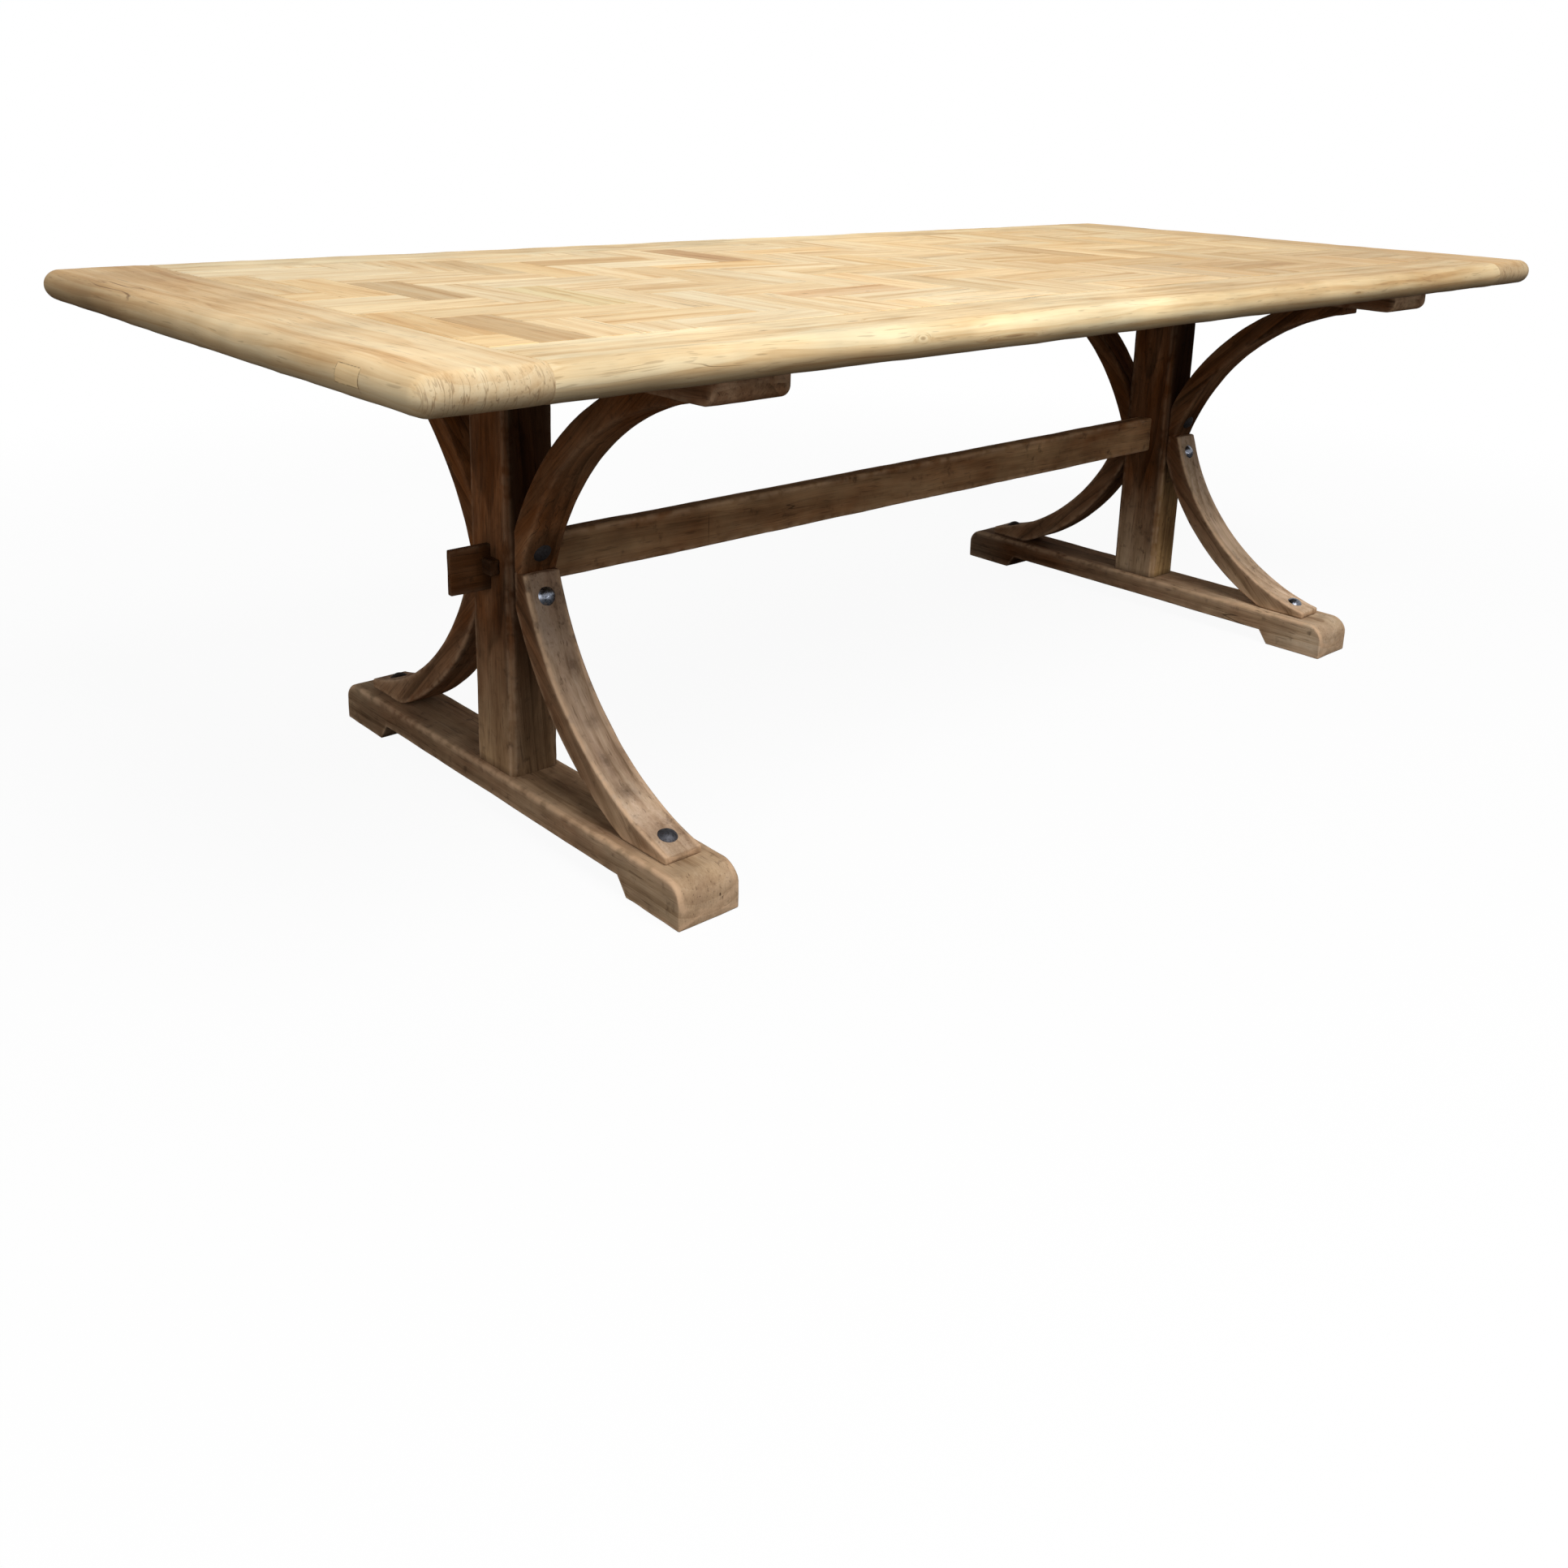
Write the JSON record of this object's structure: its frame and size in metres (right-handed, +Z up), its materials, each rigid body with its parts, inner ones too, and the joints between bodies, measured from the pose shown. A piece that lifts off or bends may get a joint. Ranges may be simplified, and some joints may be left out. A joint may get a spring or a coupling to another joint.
{
  "type": "trestle dining table",
  "caption": "Rectangular trestle dining table: round-edged parquet top on bearers, posts with curved bolted braces, relieved feet and a keyed stretcher.",
  "frame": {"origin": "on the floor under the middle of the top", "axes": "+X along the table, +Y across it to the back, +Z up"},
  "size_m": [2.48, 1.1, 0.765],
  "materials": {
    "border_wood": "waxed",
    "parquet_wood": "waxed",
    "core_wood": "raw",
    "base_wood": "weathered",
    "key_wood": "weathered",
    "steel": "polished"
  },
  "bodies": {
    "root": {"bearer_left": "base_wood", "bearer_right": "base_wood", "bolts_foot": "steel", "bolts_waist_lower": "steel", "bolts_waist_upper": "steel", "brace_lower_left_back": "base_wood", "brace_lower_left_front": "base_wood", "brace_lower_right_back": "base_wood", "brace_lower_right_front": "base_wood", "brace_screws": "steel", "brace_upper_left_back": "base_wood", "brace_upper_left_front": "base_wood", "brace_upper_right_back": "base_wood", "brace_upper_right_front": "base_wood", "core_panel": "core_wood", "edge_patch": "border_wood", "end_board_left": "border_wood", "end_board_right": "border_wood", "foot_left": "base_wood", "foot_right": "base_wood", "key_left": "key_wood", "key_right": "key_wood", "parquet_across": "parquet_wood", "parquet_along": "parquet_wood", "post_left": "base_wood", "post_right": "base_wood", "side_board_back": "border_wood", "side_board_front": "border_wood", "stretcher": "base_wood", "top_screws": "steel"}
  },
  "joints": []
}
